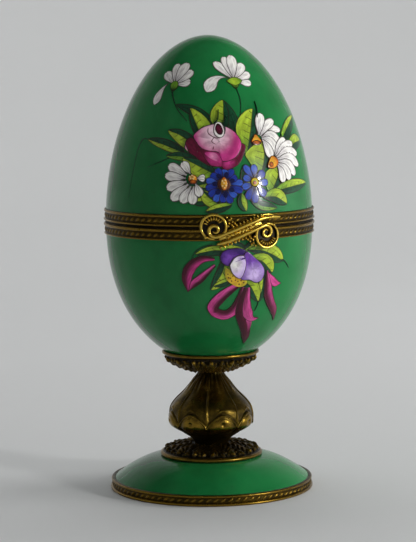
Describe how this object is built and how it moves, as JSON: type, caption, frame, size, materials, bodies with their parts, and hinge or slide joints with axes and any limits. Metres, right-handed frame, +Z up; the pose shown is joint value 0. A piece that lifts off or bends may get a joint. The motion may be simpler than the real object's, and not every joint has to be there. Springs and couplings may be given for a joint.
{
  "type": "porcelain trinket box",
  "caption": "Egg-shaped trinket box of green porcelain with painted flowers, opening at a brass belt with a scroll clasp, on a brass stem and a domed porcelain foot.",
  "frame": {"origin": "on the table, at the centre of the foot", "axes": "+Z up along the stem and the egg; the clasp faces -Y and the hinge is at +Y; +X is to the right of the clasp seen from the front"},
  "size_m": [0.0622, 0.0667, 0.1341],
  "materials": {
    "green_porcelain": "emerald green glaze, faintly mottled, white glaze inside the egg",
    "painted_enamel": "flowers, leaves and ribbons painted and fired on the glaze, in white, pink, blue, purple and green",
    "antique_brass": "cast and chased brass, darkened in the hollows and rubbed bright on the high places",
    "rubbed_brass": "cast brass, brighter where it is handled",
    "plain_brass": "turned brass, lightly tarnished",
    "leather_washer": "undyed leather, cut flat"
  },
  "bodies": {
    "base": {"bowl_shell": "green_porcelain", "bowl_bezel": "antique_brass", "lip_ring": "antique_brass", "clasp_lower": "rubbed_brass", "catch_stud": "rubbed_brass", "hinge_bowl_leaf": "antique_brass", "hinge_pin": "plain_brass", "bowl_collar": "antique_brass", "knop": "antique_brass", "foot_flange": "antique_brass", "foot_dome": "green_porcelain", "foot_bezel": "antique_brass", "tie_bolt": "plain_brass", "bolt_washer": "plain_brass", "bowl_cushion": "leather_washer", "foot_cushion": "leather_washer", "nut_washer": "plain_brass", "tie_nut": "plain_brass"},
    "lid": {"lid_shell": "green_porcelain", "lid_bezel": "antique_brass", "clasp_upper": "rubbed_brass", "hinge_lid_leaf": "antique_brass"}
  },
  "joints": [
    {"name": "lid_hinge", "type": "hinge", "parent": "base", "child": "lid", "pos_m": [0, 0.03242, 0.08], "axis": [-1, 0, 0], "range_deg": [0, 100]}
  ]
}
